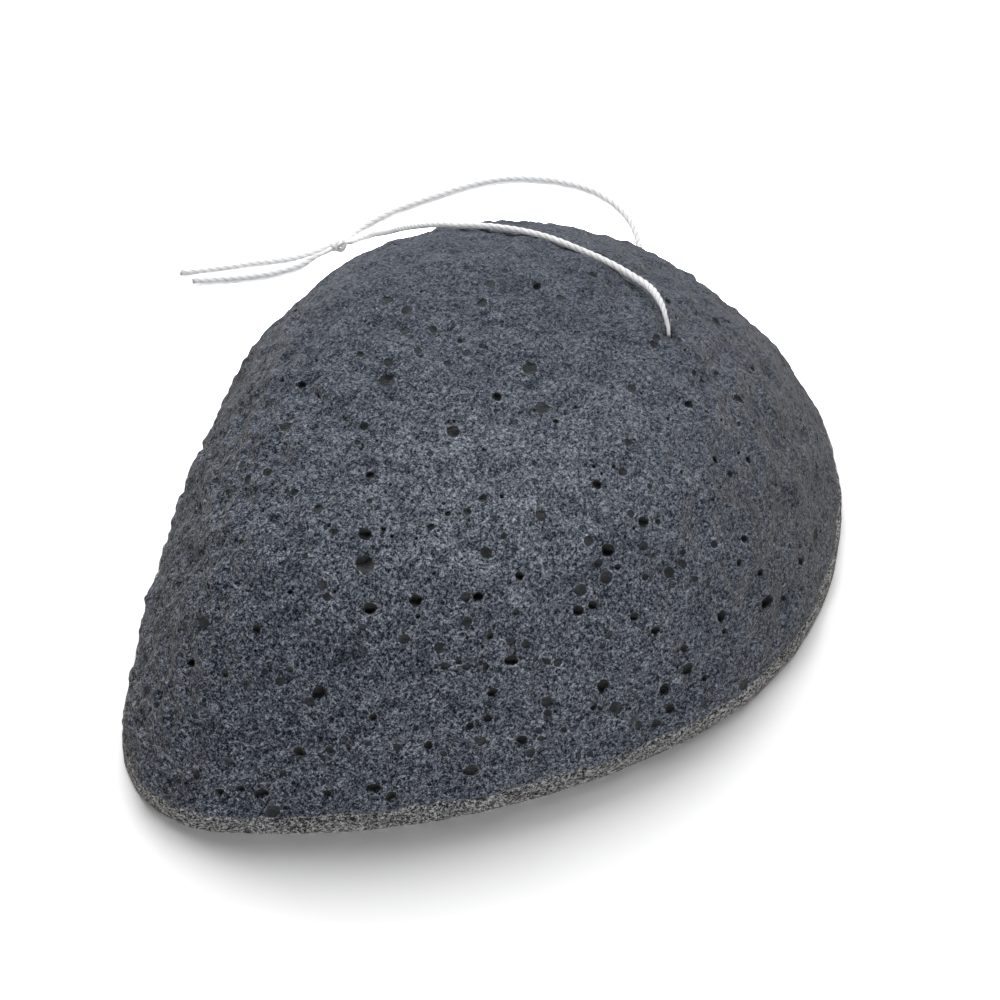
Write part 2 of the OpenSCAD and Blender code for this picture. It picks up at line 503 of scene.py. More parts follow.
    def openness(self, centre: Vector) -> float:
        """How far the plies stand apart at a place: 0 inside the knot and 1 outside it."""
        return smooth_step(*self.open_zone, (centre - self.knot_middle).length)

    def off_crest(self, angle: float) -> float:
        """Angle from the nearest ply's crest, at an angle round the string."""
        lobe = 2.0 * math.pi / self.plies
        return (angle + lobe / 2) % lobe - lobe / 2

    def valley_share(self, centre: Vector, lay: Vector) -> float:
        """How far a corner lies down between two plies, from 0 to 1.

        Args:
            centre: The corner's place.
            lay: The value that `ring` gave it.

        Returns:
            1 at the bottom of a valley, and 0 on the crests and inside the knot.
        """
        twist = 2.0 * math.pi * lay.z * MM / self.pitch
        off = abs(self.off_crest(math.atan2(lay.y, lay.x) - twist)) * self.plies / math.pi
        return float(smooth_step(0.5, 0.95, off) * self.openness(centre))

    def ply_radius(self, angle: float) -> float:
        """Radius of the plies' outline, as a share of the string's, at an angle round it."""
        off_crest = self.off_crest(angle)
        ply = 1.0 - self.ply_centre
        bulge = self.ply_centre * math.cos(off_crest)
        bulge += math.sqrt(max(ply * ply - (self.ply_centre * math.sin(off_crest)) ** 2, 0.0))
        return 1.0 - (1.0 - bulge) * self.valley / self.full_valley

    def ring(self, index: int) -> Ring:
        """The corners of one of the string's rings.

        Args:
            index: The ring's place along the whole string.

        Returns:
            Each corner, with the value that the finish reads: cosine and sine of its angle,
            and its distance along the string.
        """
        centre = self.line[index]
        _along, across, third = self.frames[index]
        travelled = index * self.step
        twist = 2.0 * math.pi * travelled / self.pitch
        size = self.radius * self.thickness(centre)
        open_plies = self.openness(centre)
        made = []
        for k in range(self.sides):
            angle = 2.0 * math.pi * k / self.sides
            outward = around(across, third, angle)
            wobble = 1.0 + self.wobble * noise.noise((centre + outward * size) * self.wobble_scale)
            plies = 1.0 - (1.0 - self.ply_radius(angle - twist)) * open_plies
            place = centre + outward * (size * plies * wobble)
            made.append((place, Vector((math.cos(angle), math.sin(angle), travelled / MM))))
        return made

    @staticmethod
    def draw_tubes(bm: bmesh.types.BMesh, lay: bmesh.types.BMLayerItem,
                   tubes: Sequence[Sequence[Ring]]) -> None:
        """Draws closed tubes that all have the same number of sides.

        The rings are the rows of one grid. The strips from one tube's last row to the next
        tube's first are cut out, each tube's two long edges are welded, and its ends are closed.

        Args:
            bm: The mesh that the tubes are added to.
            lay: The vertex layer for the value that the finish reads.
            tubes: The rings of each tube, from end to end.
        """
        rows = [ring for tube in tubes for ring in tube]
        first_rows = set(np.cumsum([len(tube) for tube in tubes]))
        sides = len(rows[0])
        width = sides + 1
        verts = bmesh.ops.create_grid(bm, x_segments=sides, y_segments=len(rows) - 1,
                                      size=1.0)["verts"]
        row_of = {v: i // width for i, v in enumerate(verts)}
        for i, v in enumerate(verts):
            v.co, v[lay] = rows[i // width][i % width % sides]
        faces = {face for v in verts for face in v.link_faces}
        strips = [face for face in faces
                  if len({row_of[v] for v in face.verts}) > 1
                  and max(row_of[v] for v in face.verts) in first_rows]
        bmesh.ops.delete(bm, geom=strips, context="FACES")
        seam = {verts[i + sides]: verts[i] for i in range(0, len(verts), width)}
        bmesh.ops.weld_verts(bm, targetmap=seam)
        edges = {edge for v in verts if v.is_valid for edge in v.link_edges if edge.is_boundary}
        bmesh.ops.holes_fill(bm, edges=list(edges), sides=0)

    def fibre(self, line: Sequence[Vector], travelled: float) -> list[Ring]:
        """The rings of one loose fibre, three-sided and tapering to its tip.

        Args:
            line: The fibre's centreline.
            travelled: Distance along the string at which it grows.

        Returns:
            Its rings, none of which dips into the floor.
        """
        rings = []
        frames = self.carried_frames(line)
        for i, (centre, (_along, across, third)) in enumerate(zip(line, frames)):
            size = self.fibre_radius * (1.0 - 0.6 * i / (len(line) - 1))
            ring = []
            for k in range(3):
                angle = 2.0 * math.pi * k / 3
                place = centre + around(across, third, angle) * size
                place.z = max(place.z, self.fibre_radius)
                ring.append((place, Vector((math.cos(angle), math.sin(angle), travelled / MM))))
            rings.append(ring)
        return rings

    def fuzz(self, low: int, high: int, draw: random.Random) -> list[list[Ring]]:
        """Short loose fibres scattered over a stretch.

        Args:
            low: First ring of the stretch.
            high: Last ring of the stretch.
            draw: Source of the scatter.

        Returns:
            The rings of each fibre.
        """
        fibres = []
        count = int((high - low) * self.step * self.fuzz_per_length)
        for _ in range(count):
            index = draw.randrange(low + 2, high - 2)
            along, across, third = self.frames[index]
            outward = around(across, third, draw.uniform(0.0, 2.0 * math.pi))
            size = self.radius * self.thickness(self.line[index])
            start = self.line[index] + outward * size * 0.8
            lift = draw.uniform(*self.fuzz_lift)
            run = draw.uniform(-self.fuzz_run, self.fuzz_run)
            bend = across.lerp(third, draw.random()).normalized()
            bend *= draw.uniform(-self.fuzz_bend, self.fuzz_bend)
            line = [start, start + outward * lift * 0.6 + along * run * 0.35,
                    start + outward * lift + along * run * 0.75 + bend * 0.5,
                    start + outward * lift * 0.9 + along * run + bend]
            fibres.append(self.fibre(line, index * self.step))
        return fibres

    def fray(self, index: int, sense: int, draw: random.Random) -> list[list[Ring]]:
        """The plies' fibres spread at a cut end.

        Args:
            index: The end's ring.
            sense: 1 if the string ends there, -1 if it starts there.
            draw: Source of the scatter.

        Returns:
            The rings of each fibre.
        """
        fibres = []
        along, across, third = self.frames[index]
        along = along * sense
        for _ in range(self.fray_fibres):
            outward = around(across, third, draw.uniform(0.0, 2.0 * math.pi))
            start = self.line[index] + outward * self.radius * draw.uniform(0.1, 0.75)
            start -= along * self.fray_back
            reach = draw.uniform(*self.fray_reach)
            flare = draw.uniform(*self.fray_flare)
            line = [start, start + along * reach * 0.4 + outward * flare * 0.2,
                    start + along * reach * 0.75 + outward * flare * 0.6,
                    start + along * reach + outward * flare]
            fibres.append(self.fibre(line, index * self.step))
        return fibres

    def build_piece(self, name: str) -> bpy.types.Object:
        """Makes one piece of the string as a mesh object.

        Args:
            name: The piece's name, one of those in spans.

        Returns:
            The object, at the origin.
        """
        low, high = self.spans[name]
        draw = random.Random(f"{SEED} {name}")
        fibres = []
        if name != "string_through":
            fibres += self.fuzz(low, high, draw)
        if low == 0:
            fibres += self.fray(low, -1, draw)
        if high == len(self.line) - 1:
            fibres += self.fray(high, 1, draw)
        bm = bmesh.new()
        lay = bm.verts.layers.float_vector.new("lay")
        self.draw_tubes(bm, lay, [[self.ring(i) for i in range(low, high + 1)]])
        if fibres:
            self.draw_tubes(bm, lay, fibres)
        bmesh.ops.recalc_face_normals(bm, faces=bm.faces)
        for face in bm.faces:
            face.smooth = True
        mesh = finished_mesh(bm, name)
        turns = [Vector(corner.vector) for corner in mesh.attributes["lay"].data]
        write_values(mesh, "tight", [self.tightness(v.co) for v in mesh.vertices])
        # The valley value masks the painted shade down between the plies.
        write_values(mesh, "valley", [self.valley_share(v.co, turns[v.index])
                                      for v in mesh.vertices])
        log.info("%s: %d faces", name, len(mesh.polygons))
        return add_object(name, mesh)

    def build(self, finish: bpy.types.Material) -> list[bpy.types.Object]:
        """Args:
            finish: The cotton's material.

        Returns:
            The pieces.
        """
        front, through, back = (self.build_piece(name) for name in self.spans)
        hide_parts("string_front_run", "string_knot", "string_lower_tail")
        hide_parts("string_core")
        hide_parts("string_back_run", "string_upper_tail")
        for piece in (front, through, back):
            piece.data.materials.append(finish)
            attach(piece, "root")
        _start, at_mouth = self.spans[front.name]
        at_rim, _end = self.spans[back.name]
        for piece, line in ((front, self.line[at_mouth::-1]), (back, self.line[at_rim:])):
            tuple(line[0])
            [tuple(p) for p in line]
        return [front, through, back]


@dataclass(frozen=True)
class PlanOutline:
    """The sponge's outline from above: a wide arc, two flank arcs and a tip arc, in mm.

    Attributes:
        length: Length from the tip to the wide end.
        width: Width across the wide end.
        tip_r: Radius of the tip.
        left_flank_r: Radius of the flank on the +Y side.
        right_flank_r: Radius of the flank on the -Y side.
    """

    length: float
    width: float
    tip_r: float = 12.5
    left_flank_r: float = 155.0
    right_flank_r: float = 95.0

    def side(self, flank_r: float) -> np.ndarray:
        """One side of the outline about the wide arc's middle, from the wide end to the tip."""
        wide_r = self.width / 2
        gap = self.length - wide_r - self.tip_r
        x = ((flank_r - self.tip_r) ** 2 - (flank_r - wide_r) ** 2 - gap ** 2) / (2 * gap)
        y = -math.sqrt((flank_r - wide_r) ** 2 - x ** 2)
        a_wide = math.atan2(-y, -x)
        a_tip = math.atan2(-y, -gap - x)
        wide = np.linspace(0.0, a_wide, 90)
        flank = np.linspace(a_wide, a_tip, 90)
        tip = np.linspace(a_tip, math.pi, 90)
        return np.concatenate([
            np.column_stack([wide_r * np.cos(wide), wide_r * np.sin(wide)]),
            np.column_stack([x + flank_r * np.cos(flank), y + flank_r * np.sin(flank)]),
            np.column_stack([-gap + self.tip_r * np.cos(tip), self.tip_r * np.sin(tip)])])

    def radii(self, centre_x: float) -> tuple[np.ndarray, np.ndarray]:
        """The outline in polar form.

        Args:
            centre_x: Place of the centre on the X axis.

        Returns:
            Rising angles and the outline's distance from the centre at each.
        """
        shift = self.length / 2 - self.width / 2 - centre_x
        left = self.side(self.left_flank_r)
        right = self.side(self.right_flank_r) * (1.0, -1.0)
        points = np.concatenate([right[::-1], left]) + (shift, 0.0)
        angles = np.arctan2(points[:, 1], points[:, 0])
        order = np.argsort(angles)
        return angles[order], np.hypot(points[:, 0], points[:, 1])[order]


@dataclass(frozen=True)
class SeenPore:
    """A pore or a dent that shows in the photograph.

    Attributes:
        x_px: Its place from the photograph's left edge.
        y_px: Its place from the top edge.
        wide_px: Its width there.
        depth: Its depth as a share of its radius.
        gloom: How dark it is inside, from 0 to 1.
        stretch: Its length over its width.
        tilt: Turn of its length in the photograph, in degrees from the right.
    """

    x_px: float
    y_px: float
    wide_px: float
    depth: float
    gloom: float
    stretch: float = 1.0
    tilt: float = 0.0


@dataclass(frozen=True)
class Pore:
    """A bubble that opens at the surface, or a dent, as the mesh needs it.

    Attributes:
        centre: Its middle on the smooth surface.
        normal: The direction out of the surface there.
        long_axis: The direction of its length.
        radius: Half its width.
        stretch: Its length over its width.
        depth: Its depth.
        gloom: How dark it is inside, from 0 to 1.
    """

    centre: Vector
    normal: Vector
    long_axis: Vector
    radius: float
    stretch: float
    depth: float
    gloom: float


@dataclass(frozen=True)
class PoreKind:
    """How pores of one kind vary.

    Attributes:
        depth: Least and greatest depth, in radii.
        gloom: Least and greatest darkness inside, from 0 to 1.
    """

    depth: Span
    gloom: Span

    def pick(self, draw: random.Random) -> Span:
        """Draws the depth and the darkness of one pore, in that order."""
        return draw.uniform(*self.depth), draw.uniform(*self.gloom)


SEEN_DEEP = PoreKind((0.9, 1.3), (0.6, 0.9))
SEEN_SHALLOW = PoreKind((0.4, 0.7), (0.1, 0.5))
FURTHER_DEEP = PoreKind((1.2, 1.8), (0.8, 0.95))
FURTHER_SHALLOW = PoreKind((0.4, 0.8), (0.25, 0.5))
# Width in pixels up to which a shallow pore has its full depth
SHALLOW_FULL_PX = 8.0
# Place across, place down and width of each open bubble in the photograph, as read one by one
DEEP_PX = (
    (497, 397, 9), (556, 421, 6), (576, 407, 4), (597, 484, 10), (689, 404, 8), (484, 450, 5),
    (431, 526, 7), (644, 522, 11), (608, 550, 13), (618, 567, 6), (520, 576, 9), (478, 596, 9),
    (502, 497, 4), (448, 513, 6), (594, 466, 4), (614, 466, 4), (715, 460, 8), (749, 460, 7),
    (745, 539, 8), (739, 563, 7), (761, 572, 8), (802, 562, 8), (784, 598, 5), (722, 616, 12),
    (725, 631, 6), (635, 617, 9), (656, 630, 9), (689, 669, 13), (658, 678, 5), (705, 678, 7),
    (665, 689, 11), (604, 686, 13), (671, 709, 10), (301, 385, 8), (370, 475, 9), (365, 534, 12),
    (383, 529, 5), (392, 536, 4), (329, 525, 4), (290, 592, 5), (256, 629, 9), (370, 608, 12),
    (319, 692, 12), (373, 717, 8), (300, 751, 12), (219, 791, 9), (240, 789, 9), (327, 793, 8),
    (391, 796, 11), (416, 601, 12), (418, 616, 5), (490, 636, 8), (459, 662, 6), (486, 667, 7),
    (492, 692, 11), (579, 611, 10), (593, 605, 9), (594, 707, 8), (488, 719, 8), (470, 726, 7),
    (428, 745, 9), (522, 739, 11), (564, 730, 6), (471, 772, 15), (537, 287, 8), (668, 301, 7),
    (671, 331, 5))
SHALLOW_PX = (
    (530, 369, 14), (542, 408, 14), (632, 388, 9), (447, 363, 7), (453, 431, 12), (541, 515, 11),
    (631, 514, 8), (589, 541, 10), (644, 546, 9), (599, 563, 8), (606, 577, 13), (581, 590, 12),
    (486, 553, 11), (466, 597, 10), (504, 536, 6), (467, 512, 8), (483, 498, 8), (534, 463, 5),
    (650, 486, 6), (623, 471, 9), (427, 467, 5), (439, 472, 5), (430, 454, 7), (681, 363, 5),
    (694, 373, 5), (716, 373, 5), (702, 381, 6), (753, 369, 6), (739, 424, 5), (707, 412, 5),
    (730, 474, 8), (628, 442, 8), (658, 522, 6), (683, 564, 9), (683, 552, 6), (669, 572, 12),
    (695, 579, 6), (708, 585, 5), (715, 544, 8), (816, 534, 10), (810, 550, 6), (790, 546, 5),
    (800, 546, 5), (770, 507, 5), (776, 485, 4), (646, 622, 5), (609, 635, 9), (684, 648, 8),
    (745, 685, 12), (657, 723, 8), (639, 726, 9), (617, 708, 12), (705, 703, 10), (645, 577, 7),
    (388, 362, 9), (387, 382, 15), (285, 426, 11), (242, 404, 6), (242, 433, 5), (242, 464, 9),
    (247, 480, 10), (267, 472, 9), (294, 491, 6), (318, 509, 10), (335, 532, 7), (365, 565, 18),
    (322, 585, 10), (226, 587, 8), (179, 585, 9), (223, 513, 5), (364, 426, 8), (357, 442, 6),
    (369, 501, 6), (354, 489, 5), (305, 556, 6), (215, 480, 6), (200, 506, 8), (225, 673, 9),
    (203, 622, 12), (327, 597, 8), (362, 627, 8), (318, 622, 6), (310, 703, 10), (329, 749, 8),
    (228, 761, 10), (196, 775, 9), (283, 773, 7), (273, 810, 14), (255, 728, 7), (280, 682, 9),
    (265, 672, 7), (289, 669, 8), (204, 700, 5), (368, 744, 7), (214, 651, 6), (467, 622, 10),
    (516, 612, 7), (512, 642, 9), (526, 644, 9), (404, 639, 11), (439, 648, 9), (445, 666, 8),
    (467, 667, 8), (536, 659, 7), (547, 662, 7), (558, 663, 8), (603, 646, 7), (547, 702, 11),
    (548, 713, 8), (566, 684, 5), (481, 742, 11), (539, 731, 7), (541, 739, 7), (531, 753, 10),
    (443, 754, 7), (397, 747, 8), (590, 754, 7), (416, 728, 5), (582, 718, 5), (490, 283, 11),
    (505, 271, 7), (482, 303, 10), (593, 275, 9), (561, 297, 8), (657, 337, 8), (680, 339, 6),
    (654, 344, 8), (717, 323, 11), (489, 322, 4), (481, 346, 5), (460, 341, 5), (388, 299, 10),
    (407, 310, 11), (449, 264, 6), (405, 330, 10), (433, 329, 8), (360, 354, 7), (418, 350, 8),
    (331, 344, 4))
LONG_PORES = (
    SeenPore(740, 399, 6, 0.7, 0.5, stretch=2.0),
    SeenPore(768, 602, 11, 1.5, 0.9, stretch=1.6, tilt=25),
    SeenPore(192, 663, 8, 1.4, 0.9, stretch=1.5),
    SeenPore(261, 794, 10, 1.5, 0.9, stretch=1.5),
    SeenPore(374, 788, 9, 1.5, 0.9, stretch=1.6),
    SeenPore(512, 661, 10, 1.5, 0.9, stretch=1.4))
# Soft dents of the skin, which aren't open
DENTS = (
    SeenPore(271, 499, 26, 0.45, 0.0, stretch=1.5, tilt=40),
    SeenPore(236, 712, 18, 0.5, 0.0, stretch=1.8, tilt=-30),
    SeenPore(422, 655, 12, 0.6, 0.0, stretch=3.4, tilt=-62),
    SeenPore(395, 700, 22, 0.4, 0.0, stretch=1.4, tilt=10),
    SeenPore(230, 560, 20, 0.4, 0.0),
    SeenPore(345, 655, 24, 0.35, 0.0, stretch=1.4, tilt=-20))


@dataclass
class Relief:
    """The lumpy surface as the camera sees it, with the way back to the smooth one.

    Attributes:
        surface: The lumpy surface.
        places: Its points.
        shifts: How each of them was moved from the smooth surface.
        normals: The direction out of the smooth surface at each.
    """

    surface: BVHTree
    places: KDTree
    shifts: list[Vector]
    normals: list[Vector]

    def meet(self, eye: Vector, ray: Vector) -> tuple[Vector, Vector] | None:
        """Finds the smooth surface's place that is seen along a ray.

        Args:
            eye: Where the ray starts.
            ray: Its direction.

        Returns:
            The place and the direction out of the surface, or None where the ray misses.
        """
        hit = self.surface.ray_cast(eye, ray)[0]
        if hit is None:
            return None
        index = self.places.find(hit)[1]
        return hit - self.shifts[index], self.normals[index]


@dataclass
class Sponge:
    """The foam body: a domed teardrop with open bubbles, soft lumps and a coarse side band.

    Attributes:
        camera: The camera, from which the photographed marks are placed.
        string: The string that lies on the foam.
        wall: Height of the upright side wall.
        crown_power: How full the dome is.
        crown_back: How far the crown lies from the middle, towards the tip.
        base_edge: Size of the worn edge at the base.
        voxel: Width of a mesh cell.
        lump: Height of the small lumps of the surface.
        swell: Height of its broad unevenness.
        dimples: Height of its small dimples.
        ripple: Height of its finest bumps.
        lump_scale: Lumps in a metre.
        swell_scale: Broad swells in a metre.
        dimple_scale: Dimples in a metre.
        ripple_scale: Fine bumps in a metre.
        rough_tip: How much higher dimples and bumps are at the tip than at the wide end.
        rough_from: Where along X that growth starts and ends.
        lump_fade: Height over the base, and over the side wall, between which lumps grow.
        sunken: Depth of the mean surface under the bumps' tops.
        groove: Depth of the furrow above the side wall.
        groove_above: Height of the furrow over the wall.
        groove_width: Width of the furrow.
        hole_radius: Radius of the string's hole.
        fine_from: Radius from which a pore's cells are halved.
        pore_reach: How far outside a pore the distance from its rim is worked out.
        ragged: Unevenness of a pore's rim, as a share of its radius.
        tries: Number of places at which a further pore is tried.
        tiny_share: Share of tiny pores among those where the photograph doesn't show the foam.
        deep_share: Share of deep pores among the further ones.
        tiny_radius: Least and greatest radius of a tiny pore.
        large_radius: Least, greatest and commonest radius of a large one.
        apart: Least distance of a further pore from a photographed one, in radii.
        clearance: Distance of the pressed foam from the string's middle, in string radii.
        mouth_dimple: Depth of the dimple round the hole.
        dimple_fade: Distances from the mouth between which the dimple fades.
        painted_shadow_width: Width over which the painted shadow beside the string fades.
        painted_shadow_from: Where that painted shadow grows, in string radii to the right of the
            string's middle.
        painted_shadow_edge: Where the painted shadow starts to fade, in string radii.
        painted_shadow_depth: How far behind the string the foam may be and still get the painted
            shadow.
        low: Lowest corner of the construction's solid.
        high: Its highest corner.
    """

    camera: PhotoCamera
    string: TwistedString
    wall: float = 3.0 * MM
    crown_power: float = 4.0
    crown_back: float = 3.0 * MM
    base_edge: float = 0.5 * MM
    voxel: float = 0.32 * MM
    lump: float = 0.72 * MM
    swell: float = 0.5 * MM
    dimples: float = 0.23 * MM
    ripple: float = 0.27 * MM
    lump_scale: float = 230.0
    swell_scale: float = 75.0
    dimple_scale: float = 430.0
    ripple_scale: float = 780.0
    rough_tip: float = 1.0
    rough_from: Span = (25 * MM, -30 * MM)
    lump_fade: Span = (-1.5 * MM, 4.5 * MM)
    sunken: float = 0.15 * MM
    groove: float = 0.2 * MM
    groove_above: float = 0.25 * MM
    groove_width: float = 0.3 * MM
    hole_radius: float = 0.55 * MM
    fine_from: float = 0.2 * MM
    pore_reach: float = 0.6 * MM
    ragged: float = 0.14
    tries: int = 3600
    tiny_share: float = 0.74
    deep_share: float = 0.4
    tiny_radius: Span = (0.11 * MM, 0.22 * MM)
    large_radius: tuple[float, float, float] = (0.24 * MM, 0.85 * MM, 0.4 * MM)
    apart: float = 3.0
    clearance: float = 1.12
    mouth_dimple: float = 0.3 * MM
    dimple_fade: Span = (0.3 * MM, 2.4 * MM)
    painted_shadow_width: float = 0.55 * MM
    painted_shadow_from: Span = (-0.2, 0.3)
    painted_shadow_edge: float = 1.8
    painted_shadow_depth: float = 1.6 * MM
    low: Vector = field(init=False)
    high: Vector = field(init=False)

    def __post_init__(self) -> None:
        """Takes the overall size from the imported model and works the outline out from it."""
        self.low, self.high = (Vector(corner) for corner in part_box("sponge_body"))
        size = self.high - self.low
        outline = PlanOutline(round(size.x / MM, 1), round(size.y / MM, 1))
        self.angles, radii = outline.radii(-self.crown_back / MM)
        self.radii = radii * MM

    def share_out(self, points: np.ndarray) -> np.ndarray:
        """How far each point lies from the crown towards the outline, from 0 to 1."""
        x = points[:, 0] + self.crown_back
        y = points[:, 1]
        edge = np.interp(np.arctan2(y, x), self.angles, self.radii, period=2 * math.pi)
        return np.hypot(x, y) / edge

    def dome_height(self, share: np.ndarray) -> np.ndarray:
        """Height of the dome at each share of the way out."""
        return self.wall + (self.high.z - self.wall) * (1.0 - share ** self.crown_power)

    def remeshed(self) -> bpy.types.Mesh:
        """A copy of the construction's solid in small even cells.

        Returns:
            The new mesh, with its hole and the groove in its base.
        """
        bm = bmesh.new()
        bm.from_mesh(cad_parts["sponge_body"].data)
        bmesh.ops.remove_doubles(bm, verts=bm.verts, dist=0.001 * MM)
        merged = finished_mesh(bm, "sponge_form")
        form = add_object("sponge_form", merged)
        remesh = form.modifiers.new("cells", "REMESH")
        remesh.mode = "VOXEL"
        remesh.voxel_size = self.voxel
        shown = form.evaluated_get(bpy.context.evaluated_depsgraph_get())
        cells = bpy.data.meshes.new_from_object(shown)
        bpy.data.objects.remove(form)
        bpy.data.meshes.remove(merged)
        return cells

    def round_off(self, points: np.ndarray) -> np.ndarray:
        """Moves points from the solid's flat facets to the smooth form they stand for.

        Args:
            points: Places on the faceted surface.

        Returns:
            Places on the smooth surface.
        """
        made = points.copy()
        share = self.share_out(made)
        from_hole = np.hypot(made[:, 0] - self.string.mouth.x, made[:, 1] - self.string.mouth.y)
        on_dome = (made[:, 2] > self.wall + self.voxel) & (from_hole > 2 * self.hole_radius)
        probe = 0.01 * MM
        for _ in range(3):
            here = made[on_dome]
            height = self.dome_height(self.share_out(here))
            slopes = []
            for axis in (0, 1):
                moved = here.copy()
                moved[:, axis] += probe
                slopes.append((self.dome_height(self.share_out(moved)) - height) / probe)
            gap = here[:, 2] - height
            normal = np.column_stack([-slopes[0], -slopes[1], np.ones(len(here))])
            made[on_dome] = here - normal * (gap / (normal ** 2).sum(1))[:, None]
        wide_r = (self.high.y - self.low.y) / 2
        target = 1.0 - np.maximum(self.base_edge - made[:, 2], 0.0) / wide_r
        on_wall = (made[:, 2] <= self.wall) & (share > target - 0.012)
        scale = (target / np.maximum(share, 0.5))[on_wall]
        made[on_wall, 0] = (made[on_wall, 0] + self.crown_back) * scale - self.crown_back
        made[on_wall, 1] *= scale
        return made

    def relief(self, bm: bmesh.types.BMesh) -> Relief:
        """The surface with its lumps, before any pore is sunk.

        Args:
            bm: The smooth surface.

        Returns:
            The lumpy surface and how each of its points was moved.
        """
        heights = self.lumps(np.array([v.co for v in bm.verts]))
        shifts = [v.normal * height for v, height in zip(bm.verts, heights)]
        moved = [v.co + shift for v, shift in zip(bm.verts, shifts)]
        faces = [[v.index for v in face.verts] for face in bm.faces]
        return Relief(BVHTree.FromPolygons(moved, faces), tree_of(moved), shifts,
                      [v.normal.copy() for v in bm.verts])

    def placed(self, relief: Relief, seen: Sequence[SeenPore]) -> Iterable[Pore]:
        """Finds photographed marks' places on the surface.

        Args:
            relief: The lumpy surface.
            seen: The marks.

        Yields:
            Each mark that the camera's ray meets.
        """
        eye = Vector(self.camera.place)
        turn = self.camera.turn.to_matrix()
        for mark in seen:
            met = relief.meet(eye, self.camera.ray(mark.x_px, mark.y_px))
            if met is None:
                continue
            place, normal = met
            tilt = math.radians(mark.tilt)
            lengthwise = turn @ Vector((math.cos(tilt), math.sin(tilt), 0.0))
            lengthwise = (lengthwise - normal * lengthwise.dot(normal)).normalized()
            radius = (mark.wide_px * 0.52 + 0.25) * self.camera.pixel_at(place)
            yield Pore(place, normal, lengthwise, radius, mark.stretch, mark.depth * radius,
                       mark.gloom)

    def seen_pores(self, relief: Relief) -> list[Pore]:
        """Finds the photographed pores' places on the surface.

        Args:
            relief: The lumpy surface.

        Returns:
            Each pore that the camera's ray meets.
        """
        draw = random.Random(SEED)
        seen = [SeenPore(*place, *SEEN_DEEP.pick(draw)) for place in DEEP_PX]
        for x, y, wide in SHALLOW_PX:
            depth, gloom = SEEN_SHALLOW.pick(draw)
            seen.append(SeenPore(x, y, wide, depth * min(1.0, SHALLOW_FULL_PX / wide), gloom))
        return list(self.placed(relief, [*seen, *LONG_PORES]))

    def scattered_pores(self, surface: BVHTree, taken: Sequence[Pore]) -> Iterable[Pore]:
        """Scatters further pores over the whole surface.

        Small ones lie everywhere. Large ones lie only where the photograph doesn't show the
        surface, as it has its own there.

        Args:
            surface: The smooth surface.
            taken: Pores that are already placed.

        Yields:
            The further pores.
        """
        draw = random.Random(SEED + 1)
        eye = Vector(self.camera.place)
        places = tree_of([pore.centre for pore in taken])
        middle = Vector((self.string.route.wide_centre * MM * 0.5, 0.0, 12.0 * MM))
        for _ in range(self.tries):
            outward = Vector((draw.gauss(0, 1), draw.gauss(0, 0.85), draw.gauss(0, 0.7)))
            start = middle + Vector((draw.uniform(-30, 25), draw.uniform(-20, 20), 0)) * MM
            place, normal, _face, _far = surface.ray_cast(start, outward.normalized())
            if place is None:
                continue
            hidden = surface.ray_cast(place + normal * 0.2 * MM, (eye - place).normalized())[0]
            tiny = draw.random() < self.tiny_share if hidden else True
            if tiny:
                radius = draw.uniform(*self.tiny_radius)
            else:
                radius = draw.triangular(*self.large_radius)
            if places.find(place)[2] < radius * self.apart:
                continue
            kind = FURTHER_DEEP if draw.random() < self.deep_share else FURTHER_SHALLOW
            depth, gloom = kind.pick(draw)
            sideways = normal.orthogonal().normalized()
            yield Pore(place, normal, sideways, radius, draw.uniform(1.0, 1.3), depth * radius,
                       gloom)

    def refine(self, bm: bmesh.types.BMesh, pores: Sequence[Pore], margin: float) -> None:
        """Halves the cells round every pore that is wide enough to show its rim.

        Args:
            bm: The sponge's mesh.
            pores: The pores to look at.
            margin: How far outside a pore its cells are halved.
        """
        places = tree_of([v.co for v in bm.verts])
        near = set()
        for pore in pores:
            if pore.radius > self.fine_from:
                reach = pore.radius * pore.stretch + margin
                near.update(index for _co, index, _d in places.find_range(pore.centre, reach))
        edges = [e for e in bm.edges if e.verts[0].index in near and e.verts[1].index in near]
        bmesh.ops.subdivide_edges(bm, edges=edges, cuts=1, use_grid_fill=True)
        bm.verts.ensure_lookup_table()
        bm.verts.index_update()

    def lumps(self, points: np.ndarray) -> np.ndarray:
        """Height of the uneven surface over the smooth form, at each point."""
        made = np.empty(len(points))
        for i, row in enumerate(points):
            p = Vector(row)
            broad = noise.noise(p * self.swell_scale)
            small = noise.noise(p * self.lump_scale + Vector((9.0, 0.0, 0.0)))
            mid = noise.noise(p * self.dimple_scale + Vector((0.0, 0.0, 7.0)))
            fine = noise.noise(p * self.ripple_scale + Vector((0.0, 5.0, 0.0)))
            rough = 1.0 + self.rough_tip * smooth_step(*self.rough_from, p.x)
            made[i] = self.swell * broad + self.lump * small - self.sunken
            made[i] += (self.dimples * mid + self.ripple * fine) * rough
        made *= smooth_step(self.lump_fade[0], self.wall + self.lump_fade[1], points[:, 2])
        off_crease = (points[:, 2] - self.wall - self.groove_above) / self.groove_width
        return made - self.groove * np.exp(-off_crease ** 2)

